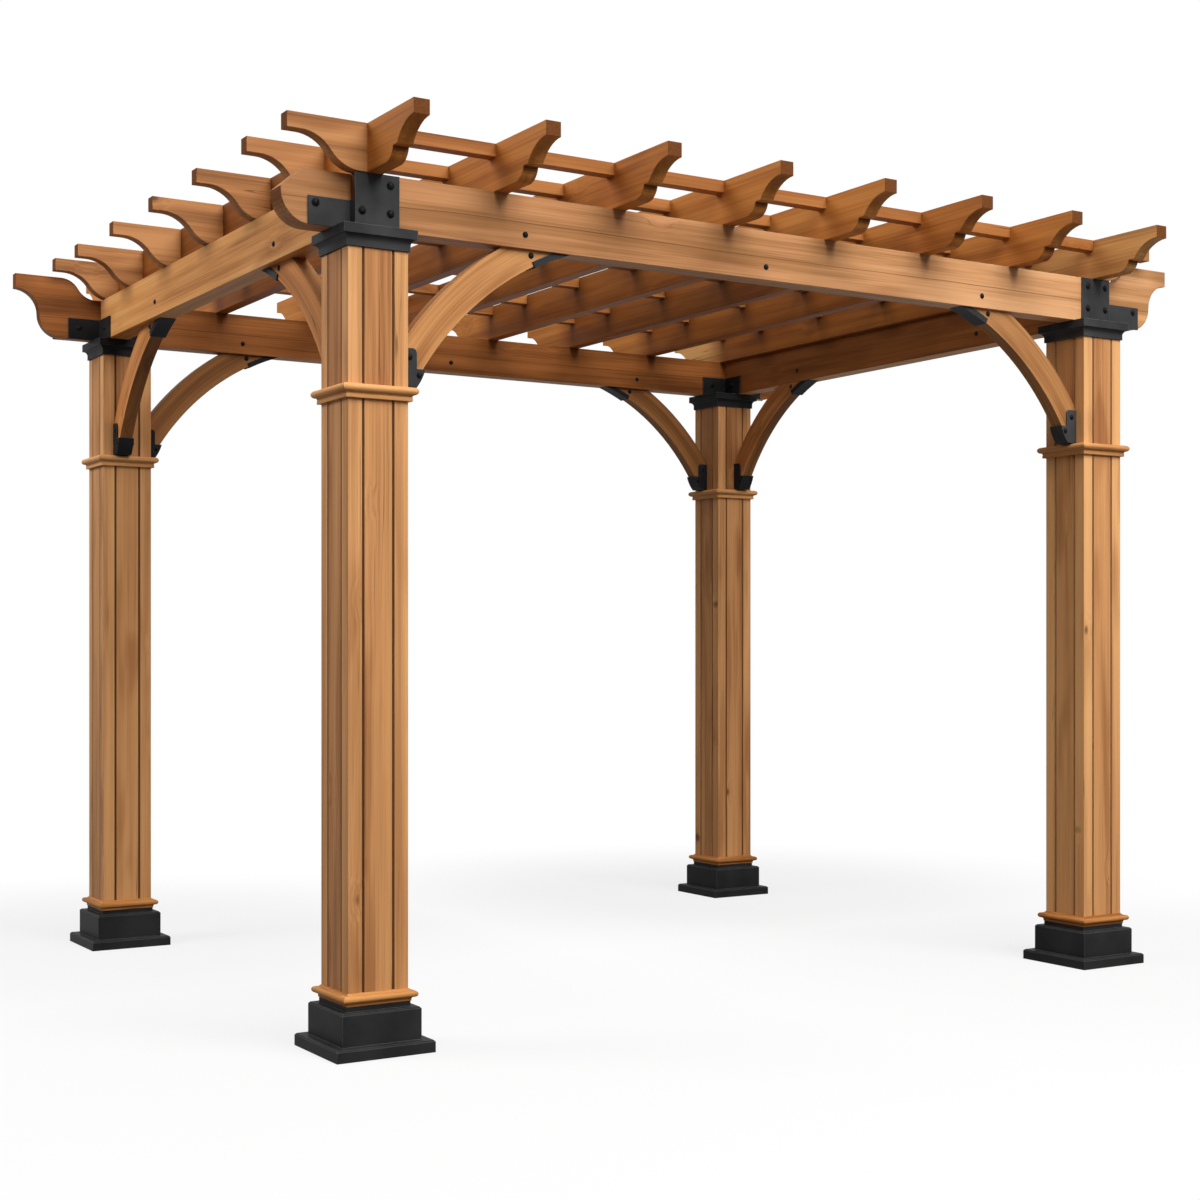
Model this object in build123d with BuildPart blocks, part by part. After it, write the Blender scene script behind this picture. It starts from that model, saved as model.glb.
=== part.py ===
from build123d import *
import os

# Cedar garden pergola: four grooved box posts on black steel bases carry two double
# front and back beams with scrolled horns, two side beams, eight rafters and seven
# purlins with carved tails. Arched knee braces and black steel plates tie the corners.
# X runs along the front beam, Y from front to back, Z up; the feet stand at Z zero.

os.makedirs("parts", exist_ok=True)

# Plan of the posts
post_span_x = 2850.0
post_span_y = 2250.0
post_side = 184.0
overrun = 40.0

# Board grooves on the post faces
groove_width = 5.0
groove_depth = 4.0
centre_board = 92.0

# Steel base
plate_side = 300.0
plate_height = 35.0
plinth_side = 241.0
plinth_height = 92.0
collar_side = 194.0
collar_height = 15.0
base_chamfer = 5.0

# Wooden mouldings round the post
foot_moulding_height = 36.0
foot_moulding_reach = 22.0
foot_fillet_height = 5.0
foot_fillet_reach = 7.0
foot_nose_radius = 9.0
foot_chamfer = 7.0
foot_cove = 1.5
band_level = 1829.0
band_height = 39.0
band_reach = 23.5
band_nose_radius = 11.0
band_bead_height = 8.0
band_bead_reach = 10.0
band_cove = 2.0

# Steel post cap
cap_level = 2250.0
cap_height = 60.0
cap_reach = 21.0
cap_fascia_height = 27.0
cap_fillet_height = 17.0
cap_fillet_reach = 5.5
cap_step = 4.0

# Beams
beam_depth = 155.0
ply_thickness = 38.0
long_beam_face = 64.0
side_beam_face = 78.0
outer_ply_end = 54.0

# Scrolled horns on the inner plies
horn_reach = 400.0
horn_rise = 74.0
horn_tip_height = 54.0
horn_top_flat = 170.0
horn_rise_start = 100.0

# Short rounded stub in place of the horn at the front left
stub_reach = 263.0
stub_tip_height = 97.0
stub_slope_run = 66.0
stub_radius = 88.0
stub_joint = 0.5

# Rafters and their tails
rafter_count = 8
rafter_depth = 137.0
rafter_thickness = 48.0
rafter_reach = 365.0
rafter_tip_height = 42.0
rafter_cove_run = 103.0
rafter_quirk_run = 24.0
rafter_quirk_height = 38.0
rafter_ovolo_run = 48.0

# Purlins and their tails
purlin_depth = 38.0
purlin_thickness = 43.0
purlin_reach = 264.0
purlin_tip_height = 44.0
purlin_lip = 40.0
purlin_ogee_run = 180.0
purlin_horn_gap = 4.0
purlin_shares = (0.111, 0.297, 0.482, 0.668, 0.854)

# Knee braces
brace_depth = 93.0
brace_thickness = 48.0
brace_radius = 950.0
brace_run = 536.0
brace_foot_width = 44.0
brace_offset = 26.0
brace_foot_rise = 22.0

# Steel shoes at the ends of the braces
shoe_cheek = 5.0
shoe_wrap = 6.0
shoe_seat = 2.0
shoe_rise = 118.0
shoe_width = 46.0
shoe_corner = 14.0
shoe_toe_reach = 40.0
shoe_toe_rise = 60.0
shoe_toe_bow = 4.0
shoe_lip = 14.0
shoe_drop = 46.0

# Corner plates and angle brackets
steel_thickness = 6.0
corner_plate_width = 136.0
strap_height = 80.0
strap_reach = 250.0
stub_strap_reach = 184.0
angle_leg = 125.0
angle_height = 80.0

# Levels and lines that follow from the sizes above
half_x = post_span_x / 2
half_y = post_span_y / 2
half_post = post_side / 2
plinth_top = plate_height + plinth_height
post_foot = plinth_top + collar_height
beam_bottom = cap_level + cap_height
beam_top = beam_bottom + beam_depth
roof_top = beam_top + rafter_depth
horn_ply_face = long_beam_face - ply_thickness
long_beam_inner = ply_thickness - horn_ply_face
side_beam_inner = side_beam_face - 2 * ply_thickness
brace_floor = band_level + band_height + shoe_seat
purlin_clear = purlin_horn_gap + purlin_thickness / 2
purlin_lines = [-half_y - horn_ply_face - purlin_clear]
purlin_lines += [post_span_y * share - half_y for share in purlin_shares]
purlin_lines += [half_y - long_beam_inner - purlin_clear]
rafter_pitch = post_span_x / (rafter_count - 1)

# The hollow edge of a brace: an arc through its foot and its tip, seen from the post's axis
foot_reach = half_post + brace_foot_width
foot_level = brace_floor + brace_foot_rise
tip_reach = half_post + brace_run
chord_run = tip_reach - foot_reach
chord_rise = beam_bottom - foot_level
chord = (chord_run**2 + chord_rise**2) ** 0.5
arc_height = (brace_radius**2 - chord**2 / 4) ** 0.5
arc_reach = (foot_reach + tip_reach) / 2 + arc_height * chord_rise / chord
arc_level = (foot_level + beam_bottom) / 2 - arc_height * chord_run / chord

corners = {
    "front_left": (-1, -1),
    "front_right": (1, -1),
    "back_left": (-1, 1),
    "back_right": (1, 1),
}

# The front right post has a brace along the front beam only
braces_along = {
    "front_left": "XY",
    "front_right": "X",
    "back_left": "XY",
    "back_right": "XY",
}

# Steel at the corners: the stub leaves no room for an outer angle bracket
strap_ends = {
    "front_left": stub_strap_reach,
    "front_right": strap_reach,
    "back_left": strap_reach,
    "back_right": strap_reach,
}
angle_sides = {
    "front_left": (-1,),
    "front_right": (-1, 1),
    "back_left": (-1, 1),
    "back_right": (-1, 1),
}


def save(piece, name):
    piece.part.label = name
    export_step(piece.part, f"parts/{name}.step")


def post_place(side_x, side_y):
    return side_x * half_x, side_y * half_y


def make_base(side_x, side_y):
    """Steel shoe of a post: a plate, a plinth and a collar, with eased top edges."""
    x, y = post_place(side_x, side_y)
    with BuildPart() as base:
        with BuildSketch(Plane((x, y, 0))):
            Rectangle(plate_side, plate_side)
        extrude(amount=plate_height)
        chamfer(base.faces().sort_by(Axis.Z)[-1].edges(), base_chamfer)
        with BuildSketch(Plane((x, y, plate_height))):
            Rectangle(plinth_side, plinth_side)
        extrude(amount=plinth_height)
        chamfer(base.faces().sort_by(Axis.Z)[-1].edges(), base_chamfer)
        with BuildSketch(Plane((x, y, plinth_top))):
            Rectangle(collar_side, collar_side)
        extrude(amount=collar_height)
    return base


def make_post(side_x, side_y):
    """Box post from collar to cap, with two long grooves down each face."""
    x, y = post_place(side_x, side_y)
    with BuildPart() as post:
        with BuildSketch(Plane((x, y, post_foot))):
            Rectangle(post_side, post_side)
            with PolarLocations(half_post, 4):
                with GridLocations(0, centre_board, 1, 2):
                    Rectangle(2 * groove_depth, groove_width, mode=Mode.SUBTRACT)
        extrude(amount=cap_level - post_foot)
    return post


def foot_moulding_outline():
    """Half section of the moulding at the post's foot: fillet, nose and top chamfer."""
    nose_reach = half_post + foot_moulding_reach - foot_nose_radius
    nose_low = post_foot + foot_moulding_height - foot_chamfer - 2 * foot_nose_radius
    nose_high = nose_low + 2 * foot_nose_radius
    top = post_foot + foot_moulding_height
    Line((0, post_foot), (half_post + foot_fillet_reach, post_foot))
    Line((half_post + foot_fillet_reach, post_foot),
         (half_post + foot_fillet_reach, post_foot + foot_fillet_height))
    SagittaArc((half_post + foot_fillet_reach, post_foot + foot_fillet_height),
               (nose_reach, nose_low), foot_cove)
    ThreePointArc((nose_reach, nose_low),
                  (nose_reach + foot_nose_radius, nose_low + foot_nose_radius),
                  (nose_reach, nose_high))
    Line((nose_reach, nose_high), (half_post + foot_chamfer, nose_high))
    Line((half_post + foot_chamfer, nose_high), (half_post, top))
    Line((half_post, top), (0, top))


def band_outline():
    """Half section of the band at two thirds height: bead, cove and rounded nose."""
    top = band_level + band_height
    nose_reach = half_post + band_reach - band_nose_radius
    nose_low = top - 2 * band_nose_radius
    bead = half_post + band_bead_reach
    bead_top = band_level + band_bead_height
    Line((0, band_level), (bead, band_level))
    Line((bead, band_level), (bead, bead_top))
    SagittaArc((bead, bead_top), (nose_reach, nose_low), band_cove)
    ThreePointArc((nose_reach, nose_low),
                  (nose_reach + band_nose_radius, nose_low + band_nose_radius),
                  (nose_reach, top))
    Line((nose_reach, top), (0, top))


def cap_outline():
    """Half section of the steel cap: fillet, cove and upright fascia."""
    fillet = half_post + cap_fillet_reach
    fascia = half_post + cap_reach
    fascia_low = beam_bottom - cap_fascia_height
    fillet_top = cap_level + cap_fillet_height
    Line((0, cap_level), (fillet, cap_level))
    Line((fillet, cap_level), (fillet, fillet_top))
    TangentArc((fillet, fillet_top), (fascia - cap_step, fascia_low), tangent=(0, 1))
    Line((fascia - cap_step, fascia_low), (fascia, fascia_low))
    Line((fascia, fascia_low), (fascia, beam_bottom))
    Line((fascia, beam_bottom), (0, beam_bottom))


def moulding_planes(side_x, side_y):
    """The two upright planes through a post's axis, facing along Y and along X."""
    x, y = post_place(side_x, side_y)
    facing_y = Plane((x, y, 0), x_dir=(1, 0, 0), z_dir=(0, -1, 0))
    facing_x = Plane((x, y, 0), x_dir=(0, 1, 0), z_dir=(1, 0, 0))
    return facing_y, facing_x


def moulding_section(plane, half_section):
    """Full section of a moulding: a half section and its mirror image."""
    with BuildSketch(plane) as section:
        with BuildLine():
            half_section()
            mirror(about=Plane.YZ)
        make_face()
    return section.sketch


def make_moulding(side_x, side_y, half_section):
    """A mitred ring round the post: a run along Y crossed by a run along X."""
    x, y = post_place(side_x, side_y)
    facing_y, facing_x = moulding_planes(side_x, side_y)
    with BuildPart() as moulding:
        extrude(moulding_section(facing_y, half_section), amount=post_side, both=True)
        extrude(moulding_section(facing_x, half_section), amount=post_side, both=True,
                mode=Mode.INTERSECT)
        with BuildSketch(Plane((x, y, 0))):
            Rectangle(post_side, post_side)
        extrude(amount=cap_level, mode=Mode.SUBTRACT)
    return moulding


def make_cap(side_x, side_y):
    """Steel cap between post and beams, moulded alike on all four sides."""
    facing_y, facing_x = moulding_planes(side_x, side_y)
    with BuildPart() as cap:
        extrude(moulding_section(facing_y, cap_outline), amount=post_side, both=True)
        extrude(moulding_section(facing_x, cap_outline), amount=post_side, both=True,
                mode=Mode.INTERSECT)
    return cap


def ogee(start, finish, run_sign):
    """Two equal tangent arcs from start to finish, level at both ends."""
    middle = ((start[0] + finish[0]) / 2, (start[1] + finish[1]) / 2)
    TangentArc(start, middle, tangent=(run_sign, 0))
    TangentArc(finish, middle, tangent=(-run_sign, 0))


def make_outer_ply(side_y):
    """Plain outer board of the front or back beam, ending over the posts."""
    y = side_y * (half_y + long_beam_face - ply_thickness / 2)
    with BuildPart() as ply:
        with BuildSketch(Plane((0, y, beam_bottom))):
            Rectangle(post_span_x + 2 * outer_ply_end, ply_thickness)
        extrude(amount=beam_depth)
    return ply


def horn_outline():
    """Half of an inner ply that runs on past the post as a scrolled horn."""
    tip = half_x + horn_reach
    horn_top = beam_top + horn_rise
    tip_bottom = horn_top - horn_tip_height
    scroll = (tip_bottom - beam_bottom) / 2
    rise_end = tip - horn_top_flat
    Line((0, beam_top), (0, beam_bottom))
    Line((0, beam_bottom), (tip - 2 * scroll, beam_bottom))
    TangentArc((tip - 2 * scroll, beam_bottom), (tip - scroll, beam_bottom + scroll),
               tangent=(1, 0))
    TangentArc((tip - scroll, beam_bottom + scroll), (tip, tip_bottom), tangent=(0, 1))
    Line((tip, tip_bottom), (tip, horn_top))
    Line((tip, horn_top), (rise_end, horn_top))
    ogee((rise_end, horn_top), (half_x + horn_rise_start, beam_top), -1)
    Line((half_x + horn_rise_start, beam_top), (0, beam_top))


def stub_outline(root):
    """Beam end from a root to a short tip, sloped on top and rounded underneath."""
    tip = half_x + stub_reach
    tip_top = beam_bottom + stub_tip_height
    slope_end = tip - stub_slope_run
    Line((root, beam_top), (root, beam_bottom))
    Line((root, beam_bottom), (tip - stub_radius, beam_bottom))
    TangentArc((tip - stub_radius, beam_bottom), (tip, beam_bottom + stub_radius), tangent=(1, 0))
    Line((tip, beam_bottom + stub_radius), (tip, tip_top))
    Line((tip, tip_top), (slope_end, beam_top))
    Line((slope_end, beam_top), (root, beam_top))


def stub_half():
    """Half of an inner ply that ends in the stub."""
    stub_outline(0)


def stub_doubling():
    """The part of the stub outside the side beam, where it is two plies thick."""
    stub_outline(half_x + side_beam_face)


def outline_face(plane, outline):
    """A face on a plane, drawn by an outline function."""
    with BuildSketch(plane) as face:
        with BuildLine():
            outline()
        make_face()
    return face.sketch


def end_plane(side_x, y):
    """Upright plane along X whose own x runs from the middle to the left or right end."""
    return Plane((0, y, 0), x_dir=(side_x, 0, 0), z_dir=(0, -side_x, 0))


def make_inner_ply(side_y, left_outline):
    """Inner board of the front or back beam, with a scrolled horn at its right end."""
    y = side_y * (half_y + horn_ply_face - ply_thickness / 2)
    with BuildPart() as ply:
        for side_x, outline in ((1, horn_outline), (-1, left_outline)):
            extrude(outline_face(end_plane(side_x, y), outline), amount=ply_thickness / 2, both=True)
    return ply


def make_stub_doubling():
    """Block behind the front left stub, outside the side beam."""
    joint = long_beam_inner + stub_joint - half_y
    with BuildPart() as block:
        extrude(outline_face(end_plane(-1, joint), stub_doubling), amount=ply_thickness)
    return block


def make_side_beam(side_x):
    """Double side beam butted between the front and back beams."""
    x = side_x * (half_x + side_beam_face - ply_thickness)
    with BuildPart() as beam:
        with BuildSketch(Plane((x, 0, beam_bottom))):
            Rectangle(2 * ply_thickness, post_span_y - 2 * long_beam_inner)
        extrude(amount=beam_depth)
    return beam


def make_rafter(x):
    """Rafter with a carved tail at both ends and notches for the purlins."""
    tip = half_y + rafter_reach
    tip_bottom = roof_top - rafter_tip_height
    quirk = beam_top + rafter_quirk_height
    cove_end = tip - rafter_cove_run
    ovolo_top = cove_end - rafter_quirk_run
    ovolo_foot = ovolo_top - rafter_ovolo_run
    with BuildPart() as rafter:
        with BuildSketch(Plane.YZ.offset(x)):
            with BuildLine():
                Line((0, roof_top), (tip, roof_top))
                Line((tip, roof_top), (tip, tip_bottom))
                TangentArc((tip, tip_bottom), (cove_end, quirk), tangent=(-1, 0))
                Line((cove_end, quirk), (ovolo_top, quirk))
                TangentArc((ovolo_foot, beam_top), (ovolo_top, quirk), tangent=(1, 0))
                Line((ovolo_foot, beam_top), (0, beam_top))
                mirror(about=Plane.YZ)
            make_face()
        extrude(amount=rafter_thickness / 2, both=True)
        with BuildSketch(Plane.XY.offset(roof_top)):
            with Locations(*[(x, line) for line in purlin_lines]):
                Rectangle(2 * rafter_thickness, purlin_thickness)
        extrude(amount=-purlin_depth, mode=Mode.SUBTRACT)
    return rafter


def make_purlin(y):
    """Purlin let into the rafters, with a full depth carved tail outside the last ones."""
    tip = half_x + purlin_reach
    tip_bottom = roof_top - purlin_tip_height
    lip = tip - purlin_lip
    tail_root = half_x + rafter_thickness / 2
    with BuildPart() as purlin:
        with BuildSketch(Plane.XZ.offset(-y)):
            with BuildLine():
                Line((0, roof_top), (tip, roof_top))
                Line((tip, roof_top), (tip, tip_bottom))
                Line((tip, tip_bottom), (lip, tip_bottom))
                ogee((lip, tip_bottom), (lip - purlin_ogee_run, beam_top), -1)
                Line((lip - purlin_ogee_run, beam_top), (tail_root, beam_top))
                Line((tail_root, beam_top), (tail_root, roof_top - purlin_depth))
                Line((tail_root, roof_top - purlin_depth), (0, roof_top - purlin_depth))
                mirror(about=Plane.YZ)
            make_face()
        extrude(amount=purlin_thickness / 2, both=True)
    return purlin


def brace_plane(side_x, side_y, along):
    """Upright plane through a brace: its own x runs from the post's axis along the beam."""
    x, y = post_place(side_x, side_y)
    if along == "X":
        return Plane((x, y + side_y * brace_offset, 0), x_dir=(-side_x, 0, 0),
                     z_dir=(0, side_x, 0))
    return Plane((x + side_x * brace_offset, y, 0), x_dir=(0, -side_y, 0),
                 z_dir=(-side_y, 0, 0))


def brace_face(plane):
    """Arched board between two concentric arcs, cut by the post, the beam and a level foot."""
    with BuildSketch(plane) as face:
        with Locations((arc_reach, arc_level)):
            Circle(brace_radius + brace_depth)
            Circle(brace_radius, mode=Mode.SUBTRACT)
        with BuildLine():
            Polyline((half_post, foot_level), (tip_reach, foot_level),
                     (tip_reach, beam_bottom), (half_post, beam_bottom), close=True)
        make_face(mode=Mode.INTERSECT)
    return face.sketch


def make_braces(side_x, side_y, directions):
    """The arched knee braces of one post."""
    with BuildPart() as braces:
        for along in directions:
            board = brace_face(brace_plane(side_x, side_y, along))
            extrude(board, amount=brace_thickness / 2, both=True)
    return braces


def brace_edge_reach(level):
    """Distance from the post's axis to the hollow edge of the brace at a level."""
    return arc_reach - (brace_radius**2 - (level - arc_level) ** 2) ** 0.5


def make_shoe(side_x, side_y, along, shoe_face):
    """A steel shoe: cheeks and a wrap of one outline, hollowed by the brace that it holds."""
    plane = brace_plane(side_x, side_y, along)
    with BuildPart() as shoe:
        extrude(shoe_face(plane), amount=brace_thickness / 2 + shoe_cheek, both=True)
        extrude(brace_face(plane), amount=brace_thickness / 2, both=True, mode=Mode.SUBTRACT)
    return shoe


def lower_shoe_outline():
    """Shoe on the post: an upright flange beside the brace and a cup round its toe."""
    top = brace_floor + shoe_rise
    edge = half_post + shoe_width
    toe = brace_floor + shoe_toe_rise
    toe_reach = brace_edge_reach(toe) + shoe_wrap
    Line((half_post, brace_floor), (half_post, top))
    Line((half_post, top), (edge - shoe_corner, top))
    TangentArc((edge - shoe_corner, top), (edge, top - shoe_corner), tangent=(1, 0))
    Line((edge, top - shoe_corner), (edge, toe))
    Line((edge, toe), (toe_reach, toe))
    SagittaArc((toe_reach, toe), (half_post + shoe_toe_reach, brace_floor), shoe_toe_bow)
    Line((half_post + shoe_toe_reach, brace_floor), (half_post, brace_floor))


def lower_shoe_face(plane):
    """Side view of the shoe on the post."""
    return outline_face(plane, lower_shoe_outline)


def upper_shoe_face(plane):
    """Side view of the shoe under the beam: a strip along the hollow edge at the brace's tip."""
    end_level = beam_bottom - shoe_drop
    end_reach = brace_edge_reach(end_level)
    heel = arc_reach + (end_reach - arc_reach) * (beam_bottom - arc_level) / (end_level - arc_level)
    with BuildSketch(plane) as face:
        with Locations((arc_reach, arc_level)):
            Circle(brace_radius + shoe_lip)
            Circle(brace_radius - shoe_wrap, mode=Mode.SUBTRACT)
        with BuildLine():
            Polyline((arc_reach, arc_level), (heel, beam_bottom),
                     (tip_reach + overrun, beam_bottom), close=True)
        make_face(mode=Mode.INTERSECT)
    return face.sketch


def make_corner_plate(side_x, side_y, strap_end):
    """Bent plate: full depth on the outer ply, a lower strap on round to the horn."""
    x, y = post_place(side_x, side_y)
    plane = Plane((x, y, beam_bottom), x_dir=(side_x, 0, 0), z_dir=(0, 0, side_x * side_y))
    upward = beam_depth * side_x * side_y
    end = outer_ply_end + steel_thickness
    face = long_beam_face + steel_thickness
    strap_face = horn_ply_face + steel_thickness
    with BuildPart() as plate:
        with BuildSketch(plane):
            with BuildLine():
                Polyline((end - corner_plate_width, long_beam_face), (outer_ply_end, long_beam_face),
                         (outer_ply_end, horn_ply_face), (strap_end, horn_ply_face),
                         (strap_end, strap_face), (end, strap_face),
                         (end, face), (end - corner_plate_width, face), close=True)
            make_face()
        extrude(amount=upward)
        with BuildSketch(plane.offset(upward)):
            with BuildLine():
                Polyline((outer_ply_end, long_beam_face), (outer_ply_end, horn_ply_face - overrun),
                         (strap_end + overrun, horn_ply_face - overrun),
                         (strap_end + overrun, long_beam_face), close=True)
            make_face()
        extrude(amount=(strap_height - beam_depth) * side_x * side_y, mode=Mode.SUBTRACT)
    return plate


def make_angle(side_x, side_y, beam_side):
    """Angle bracket between a long beam's inner face and one face of the side beam."""
    x, y = post_place(side_x, side_y)
    face = side_beam_face if beam_side > 0 else side_beam_inner
    inner = half_y - long_beam_inner
    with BuildPart() as angle:
        with BuildSketch(Plane((0, 0, beam_bottom))):
            with BuildLine():
                out = x + side_x * face
                away = side_x * beam_side
                in_y = side_y * inner
                Polyline((out, in_y), (out + away * angle_leg, in_y),
                         (out + away * angle_leg, in_y - side_y * steel_thickness),
                         (out + away * steel_thickness, in_y - side_y * steel_thickness),
                         (out + away * steel_thickness, in_y - side_y * angle_leg),
                         (out, in_y - side_y * angle_leg), close=True)
            make_face()
        extrude(amount=angle_height)
    return angle


def make_group(pieces):
    """Several separate pieces kept in one node."""
    with BuildPart() as group:
        for piece in pieces:
            add(piece.part)
    return group


for corner, (side_x, side_y) in corners.items():
    save(make_base(side_x, side_y), f"{corner}_base")
    save(make_post(side_x, side_y), f"{corner}_post")
    foot_moulding = make_moulding(side_x, side_y, foot_moulding_outline)
    band = make_moulding(side_x, side_y, band_outline)
    save(make_group([foot_moulding, band]), f"{corner}_mouldings")
    save(make_cap(side_x, side_y), f"{corner}_cap")
    save(make_braces(side_x, side_y, braces_along[corner]), f"{corner}_braces")
    steel = [make_corner_plate(side_x, side_y, strap_ends[corner])]
    steel += [make_angle(side_x, side_y, beam_side) for beam_side in angle_sides[corner]]
    for along in braces_along[corner]:
        steel += [make_shoe(side_x, side_y, along, lower_shoe_face)]
        steel += [make_shoe(side_x, side_y, along, upper_shoe_face)]
    save(make_group(steel), f"{corner}_brackets")

for name, side in (("front", -1), ("back", 1)):
    save(make_outer_ply(side), f"{name}_beam_outer_ply")
front_ply = make_group([make_inner_ply(-1, stub_half), make_stub_doubling()])
save(front_ply, "front_beam_inner_ply")
save(make_inner_ply(1, horn_outline), "back_beam_inner_ply")

for name, side in (("left", -1), ("right", 1)):
    save(make_side_beam(side), f"{name}_beam")

for number in range(rafter_count):
    save(make_rafter(number * rafter_pitch - half_x), f"rafter_{number + 1}")

for number, line in enumerate(purlin_lines):
    save(make_purlin(line), f"purlin_{number + 1}")
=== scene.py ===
import bpy
import math
import numpy as np
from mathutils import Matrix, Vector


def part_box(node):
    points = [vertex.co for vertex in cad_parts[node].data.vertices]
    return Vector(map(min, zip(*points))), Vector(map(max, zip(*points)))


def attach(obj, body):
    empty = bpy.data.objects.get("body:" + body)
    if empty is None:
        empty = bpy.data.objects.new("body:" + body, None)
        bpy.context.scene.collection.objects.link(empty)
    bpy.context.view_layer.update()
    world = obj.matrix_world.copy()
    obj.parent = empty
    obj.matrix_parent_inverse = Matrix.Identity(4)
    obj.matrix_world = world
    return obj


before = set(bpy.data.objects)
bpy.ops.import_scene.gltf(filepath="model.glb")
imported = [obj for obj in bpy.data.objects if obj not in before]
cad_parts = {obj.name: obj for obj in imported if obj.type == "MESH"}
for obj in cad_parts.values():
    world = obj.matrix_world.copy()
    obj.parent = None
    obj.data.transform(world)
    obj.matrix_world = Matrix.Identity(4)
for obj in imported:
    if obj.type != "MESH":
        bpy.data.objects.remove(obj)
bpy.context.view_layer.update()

# Ground, light and camera
# A plain white studio floor under one very large soft lamp high at the front, with a small one
# high on the left and a weak one on the right. The eye is low, a few steps before the near post.

scene = bpy.context.scene
scene.view_settings.view_transform = "Standard"
MM = 0.001


def linear(hex_colour):
    """Linear RGBA of an sRGB hex colour such as "d09863"."""
    srgb = np.array([int(hex_colour[i:i + 2], 16) for i in (0, 2, 4)]) / 255
    low, high = srgb / 12.92, ((srgb + 0.055) / 1.055) ** 2.4
    return (*np.where(srgb <= 0.04045, low, high), 1.0)


def add_node(tree, kind, *in_order, **named):
    """Adds a node: lower-case names are its settings, the rest go into its live sockets.

    A value is a number, a colour, a socket, or a node, which stands for its first live output.
    """
    node = tree.nodes.new("ShaderNode" + kind)
    for name, value in named.items():
        if name.islower():
            setattr(node, name, value)
    live = [socket for socket in node.inputs if socket.enabled]
    by_name = {socket.name.replace(" ", "_"): socket for socket in live}
    pairs = list(zip(live, in_order))
    pairs += [(by_name[name], value) for name, value in named.items() if not name.islower()]
    for socket, value in pairs:
        if isinstance(value, bpy.types.Node):
            value = next(output for output in value.outputs if output.enabled)
        if isinstance(value, bpy.types.NodeSocket):
            tree.links.new(value, socket)
        else:
            socket.default_value = value
    return node


def new_material(name):
    """An empty node material and its tree."""
    material = bpy.data.materials.new(name)
    material.use_nodes = True
    material.node_tree.nodes.clear()
    return material, material.node_tree


def seen_directly(tree):
    """1 for what the camera, a gloss or a glass sees, 0 for light that bounces."""
    path = add_node(tree, "LightPath").outputs
    seen = add_node(tree, "Math", path["Is Camera Ray"], path["Is Glossy Ray"],
                    operation="MAXIMUM")
    return add_node(tree, "Math", seen, path["Is Transmission Ray"], operation="MAXIMUM")


POST_X, POST_Y = 1.425, 1.125
SHADOW_REACH, WHITE_REACH = 0.6, 2.4
FLOOR_GLOW = 0.75


def studio_floor():
    """White studio paint: white to the eye with soft shadows near the posts, little bounce."""
    material, tree = new_material("studio_floor_paint")
    place = add_node(tree, "TexCoord").outputs["Object"]
    size = add_node(tree, "VectorMath", place, operation="ABSOLUTE")
    away = add_node(tree, "VectorMath", size, (POST_X, POST_Y, 0.0), operation="SUBTRACT")
    reach = add_node(tree, "VectorMath", away, operation="LENGTH").outputs["Value"]
    far = add_node(tree, "MapRange", reach, SHADOW_REACH, WHITE_REACH,
                   interpolation_type="SMOOTHSTEP")
    shaded = add_node(tree, "BsdfDiffuse", linear("707070"))
    glow = add_node(tree, "Emission", linear("ffffff"), FLOOR_GLOW)
    near_white = add_node(tree, "AddShader", shaded, glow)
    far_white = add_node(tree, "Emission", linear("ffffff"), 1.0)
    white = add_node(tree, "MixShader", far, near_white, far_white)
    bounce = add_node(tree, "BsdfDiffuse", linear("5c5957"))
    both = add_node(tree, "MixShader", seen_directly(tree), bounce, white)
    add_node(tree, "OutputMaterial", Surface=both)
    return material


def floor_sheet(half, cells):
    """A flat grid at Z zero: x and y run evenly from -half to half, in so many cells."""
    steps = np.linspace(-half, half, cells + 1)
    x, y = np.meshgrid(steps, steps)
    points = np.stack([x, y, np.zeros_like(x)], -1).reshape(-1, 3)
    grid = np.arange(x.size).reshape(x.shape)
    faces = np.stack([grid[:-1, :-1], grid[:-1, 1:], grid[1:, 1:], grid[1:, :-1]], -1)
    faces = faces.reshape(-1, 4)
    mesh = bpy.data.meshes.new("floor")
    mesh.from_pydata(points.tolist(), [], faces.tolist())
    mesh.materials.append(studio_floor())
    sheet = bpy.data.objects.new("floor", mesh)
    scene.collection.objects.link(sheet)
    return sheet


floor_sheet(half=40.0, cells=8)

SKY_FILL = 0.3
world = bpy.data.worlds.new("white_studio")
scene.world = world
world.use_nodes = True
sky = world.node_tree
sky.nodes.clear()
level = add_node(sky, "MapRange", seen_directly(sky), To_Min=SKY_FILL, To_Max=1.0)
add_node(sky, "OutputWorld", add_node(sky, "Background", linear("ffffff"), level))


def soft_box(name, place, aim, side, watts):
    """A square area lamp at a place, turned to face the aim point."""
    lamp = bpy.data.lights.new(name, "AREA")
    lamp.energy = watts
    lamp.size = side
    holder = bpy.data.objects.new(name, lamp)
    x, y, z = (a - b for a, b in zip(place, aim))
    holder.location = place
    holder.rotation_euler = (math.atan2(math.hypot(x, y), z), 0, math.atan2(y, x) + math.pi / 2)
    scene.collection.objects.link(holder)


soft_box("key_lamp", place=(0.4, -7.6, 8.6), aim=(0.0, 0.0, 1.2), side=8.0, watts=1530)
soft_box("left_lamp", place=(-4.8, 1.0, 4.6), aim=(-1.4, 0.2, 2.0), side=2.2, watts=135)
soft_box("right_lamp", place=(8.0, -6.0, 3.5), aim=(0.5, 0.0, 1.5), side=3.0, watts=50)

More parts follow.
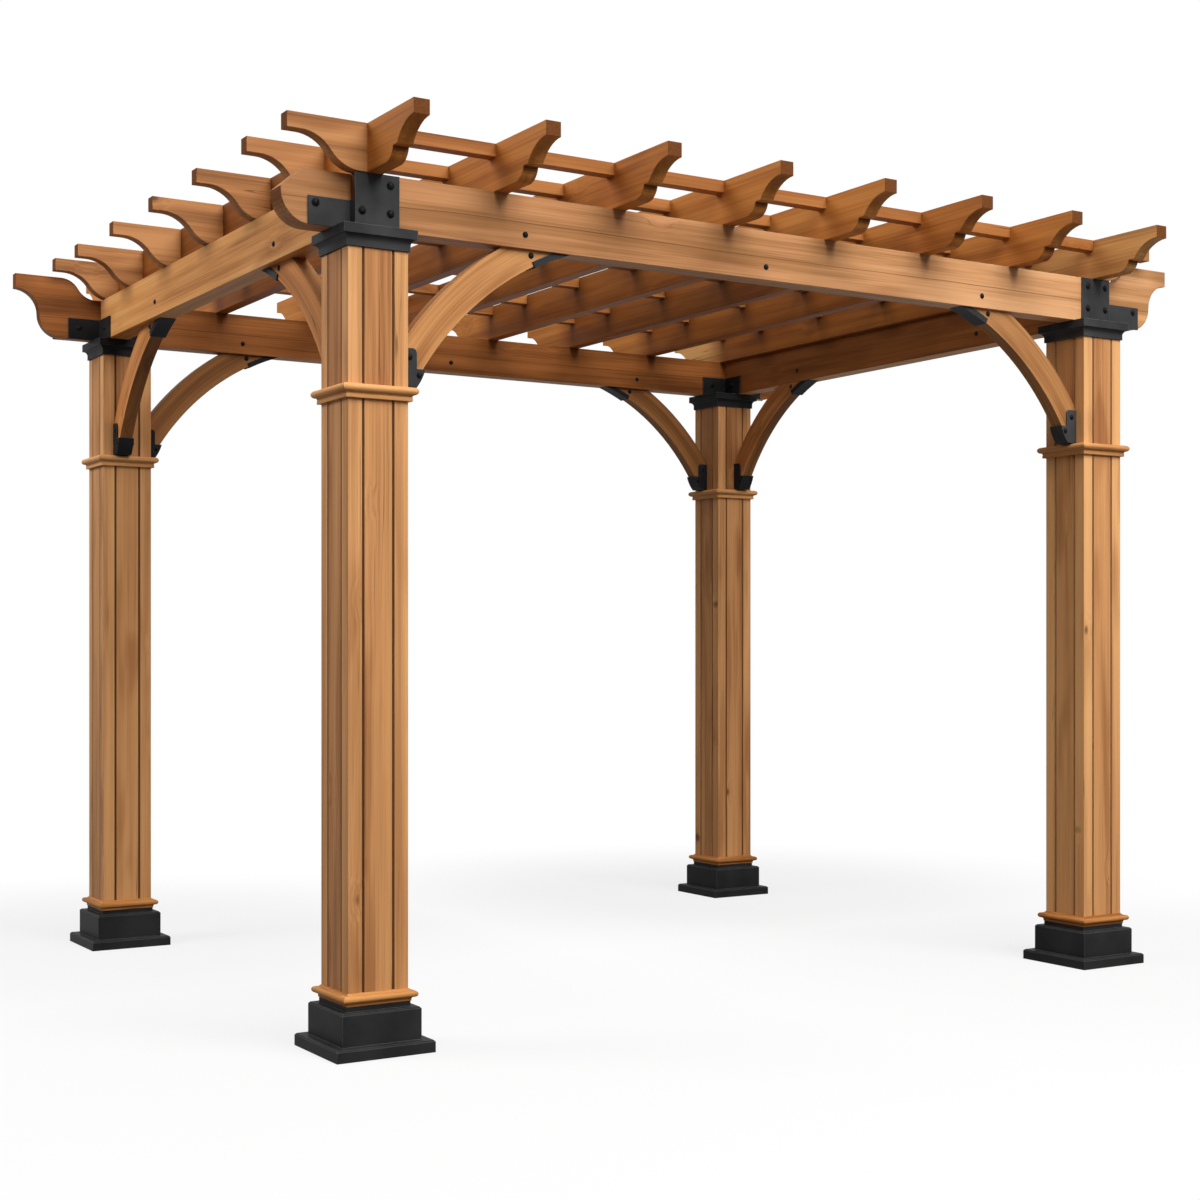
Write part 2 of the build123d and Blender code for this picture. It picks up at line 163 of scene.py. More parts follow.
EYE_FROM_POST = (-2.222, -4.859)
EYE_HEIGHT = 1.13
EYE_TURN_DEG = 31.75
LENS_MM, FILM_MM = 56.12, 36.0
HORIZON_SHIFT = 0.0415
base_low, base_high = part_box("front_left_base")
camera_data = bpy.data.cameras.new("camera")
camera_data.lens = LENS_MM
camera_data.sensor_width = FILM_MM
camera_data.shift_y = HORIZON_SHIFT
camera_data.clip_end = 200.0
camera = bpy.data.objects.new("camera", camera_data)
camera.location = ((base_low[0] + base_high[0]) / 2 + EYE_FROM_POST[0],
                   (base_low[1] + base_high[1]) / 2 + EYE_FROM_POST[1], EYE_HEIGHT)
camera.rotation_euler = (math.pi / 2, 0, -math.radians(EYE_TURN_DEG))
scene.collection.objects.link(camera)
scene.camera = camera

# Steel bases and caps
# Folded sheet steel under each post and between post and beams, with a matt black powder coat
# and a painted highlight along the folds. The upper steel is darker at the back corners than at
# the front ones, as in the photograph: that darker coat is painted shade.

CORNERS = {"front_left": (-1, -1), "front_right": (1, -1),
           "back_left": (-1, 1), "back_right": (1, 1)}
FOLD_RADIUS = 2.2 * MM
EDGE_HIGHLIGHT = "8a8a88"


def powder_coat(name, dark, light):
    """Matt black powder coat: fine pebbled skin, a little cloudy, with painted edge highlights."""
    material, tree = new_material(name)
    place = add_node(tree, "TexCoord").outputs["Object"]
    cloud = add_node(tree, "TexNoise", place, Scale=1 / (160 * MM), Detail=4.0)
    pebble = add_node(tree, "TexNoise", place, Scale=1 / (3 * MM), Detail=2.0)
    shade = add_node(tree, "MapRange", cloud, 0.35, 0.65)
    colour = add_node(tree, "Mix", shade, linear(dark), linear(light), data_type="RGBA")
    edges = add_node(tree, "Bevel", FOLD_RADIUS, samples=4)
    flat = add_node(tree, "NewGeometry").outputs["True Normal"]
    turn = add_node(tree, "VectorMath", edges, flat, operation="DOT_PRODUCT").outputs["Value"]
    # Edges and folds turn paler: this is a painted highlight.
    edge_highlight = add_node(tree, "MapRange", turn, 0.99, 0.85, 0.0, 0.5)
    colour = add_node(tree, "Mix", edge_highlight, colour, linear(EDGE_HIGHLIGHT), data_type="RGBA")
    gloss = add_node(tree, "MapRange", cloud, To_Min=0.42, To_Max=0.58)
    bump = add_node(tree, "Bump", Height=pebble, Strength=0.2, Distance=0.3 * MM, Normal=edges)
    shader = add_node(tree, "BsdfPrincipled", colour, Roughness=gloss, Normal=bump,
                      Specular_IOR_Level=0.04)
    add_node(tree, "OutputMaterial", shader)
    return material


def finish_node(name, material):
    """Gives a CAD node a new finish in its own material slot."""
    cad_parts[name].material_slots[0].material = material


base_coat = powder_coat("base_powder_coat", "212122", "2e2e2f")
high_coat = powder_coat("high_powder_coat", "2f2f30", "414142")
# A darker copy of the coat for the upper steel of the back corners: painted shade.
shaded_coat = powder_coat("shaded_powder_coat", "1b1b1c", "29292a")
top_coats = {"front_left": high_coat, "front_right": high_coat,
             "back_left": shaded_coat, "back_right": shaded_coat}
for corner in CORNERS:
    finish_node(f"{corner}_base", base_coat)
    finish_node(f"{corner}_cap", top_coats[corner])

# Posts
# Box posts of oiled red cedar boards with the grain upright: on each face two pale stiles
# and a redder centre board, set off by a groove at each side and by the band on the post.

HALF_CENTRE_BOARD = 46 * MM
GROOVE_EDGE = 4.5 * MM
BAND_LEVEL = 1.85
KNOT_CELL_MM = (312.5, 181.8, 384.6)
KNOT_BROWN, SEAM_AND_SHADE_BROWN, SMOKE_TINT = "47290f", "502c0d", "b0937c"
END_PORES, END_WOOD = "44230e", "7e4b23"
EASED_EDGE = 3.0 * MM


def stretched(tree, grain, along_mm, across_mm, detail, seed):
    """Noise drawn out along the grain: features about along_mm long and across_mm wide."""
    across = 1 / (across_mm * MM)
    scaled = add_node(tree, "Mapping", grain, Location=(seed, seed, seed),
                      Scale=(1 / (along_mm * MM), across, across))
    return add_node(tree, "TexNoise", scaled, Scale=1.0, Detail=detail, Roughness=0.55)


def three_tones(tree, figure, dark, mid, light):
    """Colour of the figure: dark where it is low, mid around the middle and light where high."""
    low = add_node(tree, "MapRange", figure, 0.36, 0.50)
    high = add_node(tree, "MapRange", figure, 0.50, 0.64)
    lower = add_node(tree, "Mix", low, linear(dark), linear(mid), data_type="RGBA")
    return add_node(tree, "Mix", high, lower, linear(light), data_type="RGBA")


def cedar(name, lay, tones, other_tones):
    """Oiled red cedar: warm streaks and fine lines along the grain, knots, thin dark checks.

    lay(tree, place, normal) gives the grain space (along, across, deep) in metres, and the
    shares of end grain, of the other set of tones, and of dark seams and painted joint shade.
    """
    material, tree = new_material(name)
    place = add_node(tree, "TexCoord").outputs["Object"]
    normal = add_node(tree, "NewGeometry").outputs["True Normal"]
    grain, ends, other, seam_and_shade = lay(tree, place, normal)
    smooth = "SMOOTHSTEP"

    # A knot every third of a metre or so pushes the streaks aside
    cells = add_node(tree, "Mapping", grain, Scale=[1 / (mm * MM) for mm in KNOT_CELL_MM])
    knot = add_node(tree, "TexVoronoi", cells, Scale=1.0).outputs["Distance"]
    swirl = add_node(tree, "MapRange", knot, 0.26, 0.0, 0.0, 18 * MM, interpolation_type=smooth)
    offset = add_node(tree, "CombineXYZ", 0.0, swirl, swirl)
    bent = add_node(tree, "VectorMath", grain, offset, operation="ADD")

    # Broad streaks, narrow lines and a different lightness for each timber
    broad = stretched(tree, bent, 1300, 55, 2.0, 0.0)
    lines = stretched(tree, bent, 420, 6.0, 3.0, 7.3)
    fibres = stretched(tree, bent, 90, 1.6, 2.0, 3.1)
    random = add_node(tree, "ObjectInfo").outputs["Random"]
    share = add_node(tree, "MapRange", random, To_Min=-0.04, To_Max=0.04)
    figure = add_node(tree, "Math", broad, 0.65, share, operation="MULTIPLY_ADD")
    figure = add_node(tree, "Math", lines, 0.35, figure, operation="MULTIPLY_ADD")
    colour = add_node(tree, "Mix", other, three_tones(tree, figure, *tones),
                      three_tones(tree, figure, *other_tones), data_type="RGBA")

    # Smoky patches, fine drying checks, knots, seams, painted joint shade and end grain are darker
    smoke = stretched(tree, grain, 600, 110, 2.0, 31.7)
    smoke = add_node(tree, "MapRange", smoke, 0.53, 0.72, 0.0, 0.5, interpolation_type=smooth)
    colour = add_node(tree, "Mix", smoke, colour, linear(SMOKE_TINT), data_type="RGBA",
                      blend_type="MULTIPLY")
    check = stretched(tree, bent, 1700, 24, 0.6, 11.7)
    check = add_node(tree, "Math", check, 0.5, operation="SUBTRACT")
    check = add_node(tree, "Math", check, operation="ABSOLUTE")
    check = add_node(tree, "MapRange", check, 0.010, 0.003, 0.0, 0.6, interpolation_type=smooth)
    patch = stretched(tree, grain, 600, 80, 1.0, 23.9)
    patch = add_node(tree, "MapRange", patch, 0.60, 0.67, interpolation_type=smooth)
    split = add_node(tree, "Math", check, patch, operation="MULTIPLY")
    heart = add_node(tree, "MapRange", knot, 0.085, 0.03, 0.0, 0.8, interpolation_type=smooth)
    dark = add_node(tree, "Math", split, heart, operation="MAXIMUM")
    colour = add_node(tree, "Mix", dark, colour, linear(KNOT_BROWN), data_type="RGBA")
    # Seams, the drying check on the long beams and painted shade at the joints take this dark
    # brown.
    colour = add_node(tree, "Mix", seam_and_shade, colour, linear(SEAM_AND_SHADE_BROWN), data_type="RGBA")
    pores = add_node(tree, "Mix", lines, linear(END_PORES), linear(END_WOOD), data_type="RGBA")
    colour = add_node(tree, "Mix", ends, colour, pores, data_type="RGBA")

    # The grain stands a little proud, and every edge is eased
    height = add_node(tree, "Math", lines, 0.5, fibres, operation="MULTIPLY_ADD")
    height = add_node(tree, "Math", split, -3.0, height, operation="MULTIPLY_ADD")
    edges = add_node(tree, "Bevel", EASED_EDGE, samples=4)
    bump = add_node(tree, "Bump", Height=height, Strength=0.3, Distance=0.5 * MM, Normal=edges)
    sheen = add_node(tree, "MapRange", fibres, To_Min=0.50, To_Max=0.66)
    sheen = add_node(tree, "Math", ends, 0.3, sheen, operation="MULTIPLY_ADD")
    shader = add_node(tree, "BsdfPrincipled", colour, Roughness=sheen, Normal=bump,
                      Specular_IOR_Level=0.12)
    add_node(tree, "OutputMaterial", shader)
    return material


CENTRE_SHIFT, TOP_SHIFT, SIDE_SHIFT = 3.7, 1.9, 0.9
REDDER_BELOW, REDDER_ABOVE = 0.6, 0.9
FOOT_SHADE_TOP, FOOT_END, FOOT_SHADE_SHARE = 1.0, 0.1, 0.5


def post_lay(tree, place, normal):
    """Upright grain, shifted so that each board has its own figure.

    Centre boards take the other, redder tones, and so do the feet of all boards as painted shade.
    The grooves are seams.
    """
    size = add_node(tree, "VectorMath", place, operation="ABSOLUTE")
    local = add_node(tree, "VectorMath", size, (POST_X, POST_Y, 0.0), operation="SUBTRACT")
    near_x, near_y, z = add_node(tree, "SeparateXYZ", local).outputs
    facing = add_node(tree, "VectorMath", normal, operation="ABSOLUTE")
    on_side = add_node(tree, "Math", add_node(tree, "SeparateXYZ", facing).outputs["X"], 0.5,
                       operation="GREATER_THAN")
    across = add_node(tree, "Mix", on_side, near_x, near_y)
    from_middle = add_node(tree, "Math", across, operation="ABSOLUTE")
    centre = add_node(tree, "Math", from_middle, HALF_CENTRE_BOARD, operation="LESS_THAN")
    above = add_node(tree, "Math", z, BAND_LEVEL, operation="GREATER_THAN")
    along = add_node(tree, "Math", centre, CENTRE_SHIFT, z, operation="MULTIPLY_ADD")
    along = add_node(tree, "Math", above, TOP_SHIFT, along, operation="MULTIPLY_ADD")
    x, y, z = add_node(tree, "SeparateXYZ", place).outputs
    turned = add_node(tree, "Math", on_side, SIDE_SHIFT, x, operation="MULTIPLY_ADD")
    grain = add_node(tree, "CombineXYZ", along, turned, y)
    redder = add_node(tree, "MapRange", above, To_Min=REDDER_BELOW, To_Max=REDDER_ABOVE)
    redder = add_node(tree, "Math", redder, centre, operation="MULTIPLY")
    # Every board turns to the deeper, redder tones towards the floor: painted shade.
    foot = add_node(tree, "MapRange", z, FOOT_SHADE_TOP, FOOT_END, 0.0, FOOT_SHADE_SHARE)
    redder = add_node(tree, "Math", redder, foot, operation="MAXIMUM")
    groove = add_node(tree, "Math", from_middle, HALF_CENTRE_BOARD, operation="SUBTRACT")
    groove = add_node(tree, "Math", groove, operation="ABSOLUTE")
    groove = add_node(tree, "MapRange", groove, GROOVE_EDGE, 0.8 * GROOVE_EDGE, 0.0, 0.95)
    return grain, 0.0, redder, groove


post_cedar = cedar("post_cedar", post_lay, ("b37e4e", "cf9762", "dba46b"),
                   ("8f5a33", "b27a4a", "c18955"))
for corner in CORNERS:
    finish_node(f"{corner}_post", post_cedar)

# Mouldings
# Mitred cedar trim fixed round each post, at its foot and as a band under the braces; the
# grain runs round the post, along each side.


def moulding_lay(tree, place, normal):
    """Grain along the side that the moulding runs on; painted shade deepens the foot mouldings."""
    facing = add_node(tree, "VectorMath", normal, operation="ABSOLUTE")
    side_x, side_y, _ = add_node(tree, "SeparateXYZ", facing).outputs
    on_side = add_node(tree, "Math", side_x, side_y, operation="GREATER_THAN")
    x, y, z = add_node(tree, "SeparateXYZ", place).outputs
    along = add_node(tree, "Mix", on_side, x, y)
    across = add_node(tree, "Mix", on_side, y, x)
    # The foot mouldings take the deeper tones: painted shade near the floor.
    shaded_foot = add_node(tree, "Math", z, FOOT_SHADE_TOP, operation="LESS_THAN")
    return add_node(tree, "CombineXYZ", along, z, across), 0.0, shaded_foot, 0.0


moulding_cedar = cedar("moulding_cedar", moulding_lay, ("b27945", "cd945b", "d9a168"),
                       ("8c5526", "b4773e", "c98d50"))
for corner in CORNERS:
    finish_node(f"{corner}_mouldings", moulding_cedar)

# Beams
# Planed cedar joists on edge: two plies make the front and back beams, and each side beam is
# one thick timber here. Inner faces take a deeper brown as painted shade, painted shade also
# lies under the joints, and the ends are dark end grain. The browns follow the photograph.

RAFTER_PITCH = 0.4071
PURLIN_PITCH, PURLIN_START = 0.418, -0.0405
BEAM_TOP = 2.465
CHECK_LEVEL = 2.372
LEFT_START, LEFT_END, LEFT_SHARE = 1.2, -0.6, 0.45
SHADE_DEPTH, SHADE_WIDTH, SHADE_HEART = 80 * MM, 110 * MM, 20 * MM
LONG_BEAM_SHADE, SIDE_BEAM_SHADE = 0.25, 0.4


def end_grain(tree, normal, axis):
    """Share of end grain: 1 on the faces that look along the axis, 0 on a timber's sides."""
    facing = add_node(tree, "VectorMath", normal, operation="ABSOLUTE")
    along = add_node(tree, "SeparateXYZ", facing).outputs[axis]
    return add_node(tree, "MapRange", along, 0.75, 0.98)


def inner_face(tree, place, normal, axis):
    """1 on the faces that look along the axis towards the middle of the pergola, 0 elsewhere."""
    outward = add_node(tree, "VectorMath", place, normal, operation="MULTIPLY")
    outward = add_node(tree, "SeparateXYZ", outward).outputs[axis]
    return add_node(tree, "Math", outward, -0.1, operation="LESS_THAN")


def painted_joint_shade(tree, along, start, pitch, height, top, strength):
    """Painted shade at evenly spaced joints: strongest at their top, gone beside and below."""
    nearest = add_node(tree, "Math", along, start + pitch / 2, start - pitch / 2, operation="WRAP")
    away = add_node(tree, "Math", nearest, start, operation="SUBTRACT")
    away = add_node(tree, "Math", away, operation="ABSOLUTE")
    beside = add_node(tree, "MapRange", away, SHADE_WIDTH, SHADE_HEART,
                      interpolation_type="SMOOTHSTEP")
    below = add_node(tree, "MapRange", height, top - SHADE_DEPTH, top, 0.0, strength,
                     interpolation_type="SMOOTHSTEP")
    return add_node(tree, "Math", beside, below, operation="MULTIPLY")


def lay_along_x(tree, place, normal):
    """Grain along X, end grain on faces that look along X, painted shade on inner faces.

    The painted shade takes the deeper tones. They also come in towards the left end, as in the
    photograph, partly as darker wood and partly as painted shade. Painted shade also lies under
    each rafter, and one drying check wanders along the middle.
    """
    inward = inner_face(tree, place, normal, "Y")
    x, _, z = add_node(tree, "SeparateXYZ", place).outputs
    # Deeper towards the left end: partly darker wood, partly painted shade.
    left = add_node(tree, "MapRange", x, LEFT_START, LEFT_END, 0.0, LEFT_SHARE)
    deep = add_node(tree, "Math", inward, left, operation="MAXIMUM")
    # Painted shade under each rafter.
    joint_shade = painted_joint_shade(tree, x, POST_X, RAFTER_PITCH, z, BEAM_TOP, LONG_BEAM_SHADE)
    wander = stretched(tree, place, 700, 700, 2.0, 5.5)
    wander = add_node(tree, "Math", wander, 25 * MM, CHECK_LEVEL, operation="MULTIPLY_ADD")
    check = add_node(tree, "Math", z, wander, operation="SUBTRACT")
    check = add_node(tree, "Math", check, operation="ABSOLUTE")
    check = add_node(tree, "MapRange", check, 2.0 * MM, 0.7 * MM, 0.0, 0.6)
    marks = add_node(tree, "Math", joint_shade, check, operation="MAXIMUM")
    return place, end_grain(tree, normal, "X"), deep, marks


def lay_along_y(tree, place, normal):
    """Grain along Y, end grain on faces that look along Y, painted shade on inner faces."""
    x, y, z = add_node(tree, "SeparateXYZ", place).outputs
    grain = add_node(tree, "CombineXYZ", y, x, z)
    return grain, end_grain(tree, normal, "Y"), inner_face(tree, place, normal, "X"), 0.0


def side_beam_lay(tree, place, normal):
    """Grain along Y, with painted shade under the tail of each purlin."""
    grain, ends, inward, _ = lay_along_y(tree, place, normal)
    y, _, z = add_node(tree, "SeparateXYZ", grain).outputs
    joint_shade = painted_joint_shade(tree, y, PURLIN_START, PURLIN_PITCH, z, BEAM_TOP, SIDE_BEAM_SHADE)
    return grain, ends, inward, joint_shade


# The deep tones are painted shade on the inner faces of the beams.
DEEP_TONES = ("6b3d17", "8e5426", "a06333")
long_cedar = cedar("long_beam_cedar", lay_along_x, ("a8774a", "c79365", "d4a274"), DEEP_TONES)
side_cedar = cedar("side_beam_cedar", side_beam_lay, ("a66b36", "c98c50", "d69d60"), DEEP_TONES)
for side in ("front", "back"):
    finish_node(f"{side}_beam_outer_ply", long_cedar)
    finish_node(f"{side}_beam_inner_ply", long_cedar)
for side in ("left", "right"):
    finish_node(f"{side}_beam", side_cedar)

# Corner steel and bolts
# Bent plates, straps, angle brackets and brace shoes of black coated plate, and dome headed
# coach bolts on washers that hold them or go through the beams.


def black_bolt():
    """Blackened bolt steel: darker than the coat, with patches of wear in its tone and gloss."""
    material, tree = new_material("blackened_bolt_steel")
    place = add_node(tree, "TexCoord").outputs["Object"]
    wear = add_node(tree, "TexNoise", place, Scale=1 / (6 * MM), Detail=3.0)
    shade = add_node(tree, "MapRange", wear, 0.35, 0.7)
    colour = add_node(tree, "Mix", shade, linear("060606"), linear("141414"), data_type="RGBA")
    gloss = add_node(tree, "MapRange", wear, To_Min=0.38, To_Max=0.55)
    shader = add_node(tree, "BsdfPrincipled", colour, Roughness=gloss, Specular_IOR_Level=0.1)
    add_node(tree, "OutputMaterial", shader)
    return material


SPOKES, DOME_RINGS = 20, 6


def bolt_heads(name, places, axes, radius):
    """Dome heads on washers, one at each place along its axis, as one mesh.

    A profile of radii r and heights h is turned about each axis: the washer is flat to 1.3 R,
    the dome is r = R cos(t), h = 0.22 R + 0.6 R sin(t), and both poles are single points.
    """
    turn = np.linspace(0, 2 * np.pi, SPOKES, endpoint=False)
    dome = np.linspace(0, np.pi / 2, DOME_RINGS, endpoint=False)
    r = radius * np.concatenate([[1.24, 1.3, 1.3, 1.24], np.cos(dome)])
    h = radius * np.concatenate([[-0.1, 0.0, 0.16, 0.22], 0.22 + 0.6 * np.sin(dome)])
    places, axes = np.asarray(places, float), np.asarray(axes, float)
    side = np.cross(axes, [[0.3, 0.5, 0.8]])
    side /= np.linalg.norm(side, axis=1, keepdims=True)
    other = np.cross(axes, side)
    spoke = np.cos(turn)[:, None] * side[:, None] + np.sin(turn)[:, None] * other[:, None]
    rings = (places[:, None, None] + h[None, :, None, None] * axes[:, None, None]
             + r[None, :, None, None] * spoke[:, None])
    poles = places[:, None] + radius * np.array([-0.1, 0.82])[None, :, None] * axes[:, None]
    count, levels, steps = rings.shape[:3]
    points = np.concatenate([rings.reshape(count, -1, 3), poles], 1)
    grid = np.arange(levels * steps).reshape(levels, steps)
    after = np.roll(grid, -1, 1)
    quads = np.stack([grid[:-1], after[:-1], after[1:], grid[1:]], -1).reshape(-1, 4)
    foot, crown = np.full(steps, levels * steps), np.full(steps, levels * steps + 1)
    fans = np.concatenate([np.stack([after[0], grid[0], foot], -1),
                           np.stack([grid[-1], after[-1], crown], -1)])
    shift = np.arange(count)[:, None, None] * points.shape[1]
    faces = (quads + shift).reshape(-1, 4).tolist() + (fans + shift).reshape(-1, 3).tolist()
    mesh = bpy.data.meshes.new(name)
    mesh.from_pydata(points.reshape(-1, 3).tolist(), [], faces)
    mesh.polygons.foreach_set("use_smooth", np.ones(len(faces), bool))
    mesh.materials.append(bolt_steel)
    piece = bpy.data.objects.new(name, mesh)
    scene.collection.objects.link(piece)
    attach(piece, "root")


# Faces and bolts are placed by their distance from the pergola's middle, levels by their height
PLATE_FACE, STRAP_FACE = 1.195, 1.157
PLATE_BOLTS = ((1.377, 2.436), (1.377, 2.357), (1.464, 2.357), (1.464, 2.436))
STRAP_LEVEL, ANGLE_LEVEL = 2.372, 2.354
SHORT_STRAP_BOLT, LONG_STRAP_BOLT = 1.588, 1.648
LONG_ANGLE_FACE, INNER_ANGLE_BOLT, OUTER_ANGLE_BOLT = 1.107, 1.350, 1.589
SIDE_ANGLE_BOLT, INNER_ANGLE_FACE, OUTER_ANGLE_FACE = 1.048, 1.421, 1.509
PLATE_BOLT, ANGLE_BOLT, TIMBER_BOLT = 9 * MM, 8 * MM, 7 * MM
bolt_steel = black_bolt()
for corner, (side_x, side_y) in CORNERS.items():
    finish_node(f"{corner}_brackets", top_coats[corner])
    short = corner == "front_left"
    places = [(side_x * x, side_y * PLATE_FACE, z) for x, z in PLATE_BOLTS[:3 if short else 4]]
    strap_bolt = SHORT_STRAP_BOLT if short else LONG_STRAP_BOLT
    places.append((side_x * strap_bolt, side_y * STRAP_FACE, STRAP_LEVEL))
    bolt_heads(f"{corner}_plate_bolts", places, [(0, side_y, 0)] * len(places), PLATE_BOLT)
    places = [(side_x * INNER_ANGLE_BOLT, side_y * LONG_ANGLE_FACE, ANGLE_LEVEL),
              (side_x * INNER_ANGLE_FACE, side_y * SIDE_ANGLE_BOLT, ANGLE_LEVEL)]
    axes = [(0, -side_y, 0), (-side_x, 0, 0)]
    if not short:
        places += [(side_x * OUTER_ANGLE_BOLT, side_y * LONG_ANGLE_FACE, ANGLE_LEVEL),
                   (side_x * OUTER_ANGLE_FACE, side_y * SIDE_ANGLE_BOLT, ANGLE_LEVEL)]
        axes += [(0, -side_y, 0), (side_x, 0, 0)]
    bolt_heads(f"{corner}_angle_bolts", places, axes, ANGLE_BOLT)

LONG_BOLT_LEVEL, LONG_BEAM_FACES = 2.351, (1.189, 1.113)
LONG_BOLTS = {"front": (-1, (-0.938, -0.057, 0.870)), "back": (1, (-0.931, 0.0, 0.941))}
for side, (sign, columns) in LONG_BOLTS.items():
    places = [(x, sign * y, LONG_BOLT_LEVEL) for y in LONG_BEAM_FACES for x in columns]
    axes = [(0, sign * turn, 0) for turn in (1, -1) for _ in columns]
    bolt_heads(f"{side}_beam_bolts", places, axes, TIMBER_BOLT)
SIDE_BOLT_LEVEL, SIDE_BEAM_FACES = 2.361, (1.503, 1.427)
SIDE_BOLTS = {"left": (-1, (-0.638, 0.473)), "right": (1, (-0.566, 0.566))}
for side, (sign, rows) in SIDE_BOLTS.items():
    places = [(sign * x, y, SIDE_BOLT_LEVEL) for x in SIDE_BEAM_FACES for y in rows]
    axes = [(sign * turn, 0, 0) for turn in (1, -1) for _ in rows]
    bolt_heads(f"{side}_beam_bolts", places, axes, TIMBER_BOLT)

# Braces
# Arched knee braces, taken to be bent from cedar laminations with the grain along the arch,
# each held by a bolt through its tip and by bolts through the flange and toe of its lower shoe.

ARC_REACH, ARC_LEVEL = 0.9605, 1.4201
X_BRACE_LINE = 1.08


def brace_lay(tree, place, normal):
    """Grain round the arc: along is the angle about the arch's centre, across the radius.

    The braces along Y take the other, paler tones on their left face, as in the photograph;
    that paler face is painted light.
    """
    size = add_node(tree, "VectorMath", place, operation="ABSOLUTE")
    away = add_node(tree, "VectorMath", (POST_X, POST_Y, 0.0), size, operation="SUBTRACT")
    reach_x, reach_y, _ = add_node(tree, "SeparateXYZ", away).outputs
    far_y = add_node(tree, "SeparateXYZ", size).outputs["Y"]
    along_x = add_node(tree, "Math", far_y, X_BRACE_LINE, operation="GREATER_THAN")
    reach = add_node(tree, "Mix", along_x, reach_y, reach_x)
    x, y, z = add_node(tree, "SeparateXYZ", place).outputs
    run = add_node(tree, "Math", ARC_REACH, reach, operation="SUBTRACT")
    rise = add_node(tree, "Math", z, ARC_LEVEL, operation="SUBTRACT")
    angle = add_node(tree, "Math", rise, run, operation="ARCTAN2")
    spoke = add_node(tree, "CombineXYZ", run, rise, 0.0)
    radius = add_node(tree, "VectorMath", spoke, operation="LENGTH")
    deep = add_node(tree, "Mix", along_x, x, y)
    left = add_node(tree, "SeparateXYZ", normal).outputs["X"]
    left = add_node(tree, "Math", left, -0.5, operation="LESS_THAN")
    # The left faces of the braces along Y take the paler tones: painted light.
    paler = add_node(tree, "Mix", along_x, left, 0.0)
    return add_node(tree, "CombineXYZ", angle, radius, deep), 0.0, paler, 0.0


# Darker tones for the back braces and the front right one: painted shade.
SHADED_BRACE_TONES = ("6b421f", "85562e", "936337")
LIT_BRACE_TONES = ("a06533", "c68248", "da9556")
BRACE_TONES = {"front_left": ("a8713f", "c68e58", "d49d66"),
               "front_right": ("9a673a", "b68250", "c4905b"),
               "back_left": SHADED_BRACE_TONES, "back_right": SHADED_BRACE_TONES}
HALF_BRACE, HALF_SHOE = 24 * MM, 29 * MM
X_BRACE_PLANE, Y_BRACE_PLANE = 1.151, 1.451
BRACE_BOLTS = ((0.514, 2.295, HALF_BRACE), (0.115, 1.962, HALF_SHOE), (0.146, 1.912, HALF_SHOE))
for corner, (side_x, side_y) in CORNERS.items():
    finish_node(f"{corner}_braces", cedar(f"{corner}_brace_cedar", brace_lay,
                                          BRACE_TONES[corner], LIT_BRACE_TONES))
    places, axes = [], []
    for reach, height, half in BRACE_BOLTS:
        along_x, along_y = side_x * (POST_X - reach), side_y * (POST_Y - reach)
        for turn in (1, -1):
            places.append((along_x, side_y * X_BRACE_PLANE + turn * half, height))
            axes.append((0, turn, 0))
            if corner != "front_right":
                places.append((side_x * Y_BRACE_PLANE + turn * half, along_y, height))
                axes.append((turn, 0, 0))
    bolt_heads(f"{corner}_brace_bolts", places, axes, TIMBER_BOLT)

# Rafters and purlins
# Cedar joists notched into each other, their tails sawn to a cove and ovolo or to an ogee.
# The rafters are a warmer brown than the purlins and the last one is paler, as in the photograph.
# Under the roof both take deeper tones as painted shade.

PURLIN_FOOT = 2.564
SHADED_MIDDLE, SHADED_REACH, SHADED_BLEND = 0.22, 0.92, 0.1
TAIL_START, TAIL_BLEND = 1.47, 60 * MM
RAFTER_JOINT_SHADE = 0.4


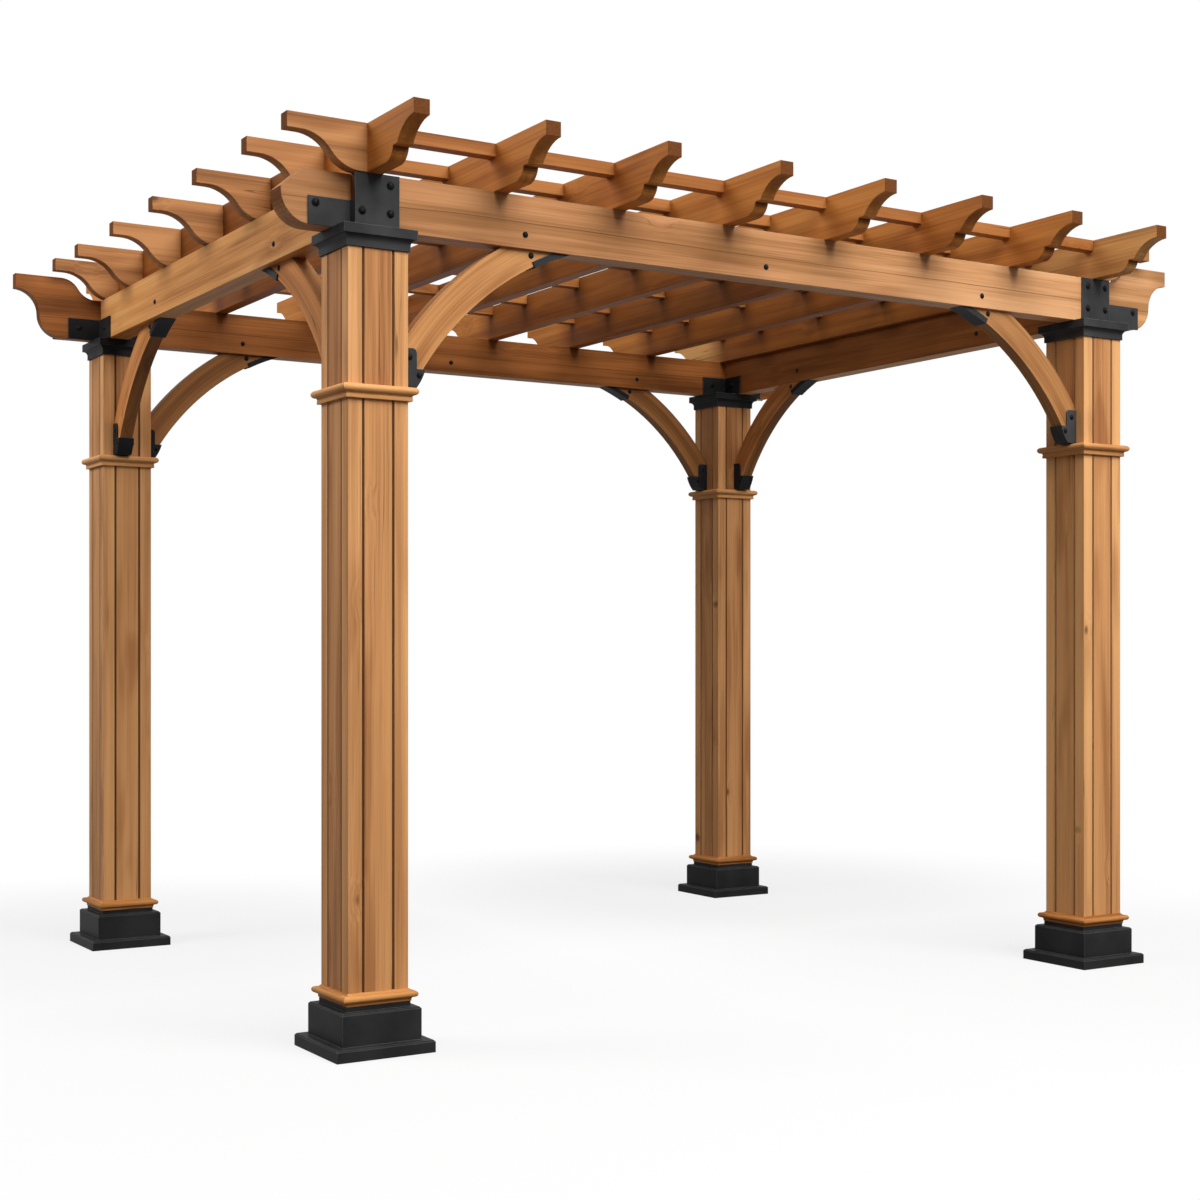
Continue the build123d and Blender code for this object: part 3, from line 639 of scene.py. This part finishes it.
def rafter_lay(tree, place, normal):
    """Grain along Y; painted shade deepens the middle of the sides and lies at each purlin."""
    grain, ends, _, _ = lay_along_y(tree, place, normal)
    y, _, z = add_node(tree, "SeparateXYZ", grain).outputs
    inside = add_node(tree, "Math", y, SHADED_MIDDLE, operation="SUBTRACT")
    inside = add_node(tree, "Math", inside, operation="ABSOLUTE")
    inside = add_node(tree, "MapRange", inside, SHADED_REACH + SHADED_BLEND,
                      SHADED_REACH - SHADED_BLEND, interpolation_type="SMOOTHSTEP")
    # Faces that look up keep the lighter tones: painted light from above.
    up = add_node(tree, "SeparateXYZ", normal).outputs["Z"]
    shade = add_node(tree, "MapRange", up, 0.7, 0.3)
    inside = add_node(tree, "Math", inside, shade, operation="MULTIPLY")
    # Painted shade at each purlin.
    joint_shade = painted_joint_shade(tree, y, PURLIN_START, PURLIN_PITCH, z, PURLIN_FOOT, RAFTER_JOINT_SHADE)
    return grain, ends, inside, add_node(tree, "Math", joint_shade, inside, operation="MULTIPLY")


def purlin_lay(tree, place, normal):
    """Grain along X; painted shade makes the lengths between the rafters deeper than the tails."""
    size = add_node(tree, "VectorMath", place, operation="ABSOLUTE")
    inside = add_node(tree, "SeparateXYZ", size).outputs["X"]
    inside = add_node(tree, "MapRange", inside, TAIL_START, TAIL_START - TAIL_BLEND)
    return place, end_grain(tree, normal, "X"), inside, 0.0


# Deeper rafter tones, used as painted shade.
SHADED_RAFTER_TONES = ("6b3b13", "82491a", "915621")
rafter_cedar = cedar("rafter_cedar", rafter_lay, ("9a5c27", "ba7434", "ca8743"), SHADED_RAFTER_TONES)
pale_rafter_cedar = cedar("pale_rafter_cedar", rafter_lay, ("b07a45", "cf9557", "dba467"),
                          SHADED_RAFTER_TONES)
# The purlins' deeper tones are painted shade between the rafters.
purlin_cedar = cedar("purlin_cedar", purlin_lay, ("825530", "a77143", "b98352"),
                     ("724419", "965c2c", "a86d39"))
for number in range(1, 8):
    finish_node(f"rafter_{number}", rafter_cedar)
finish_node("rafter_8", pale_rafter_cedar)
for number in range(1, 8):
    finish_node(f"purlin_{number}", purlin_cedar)
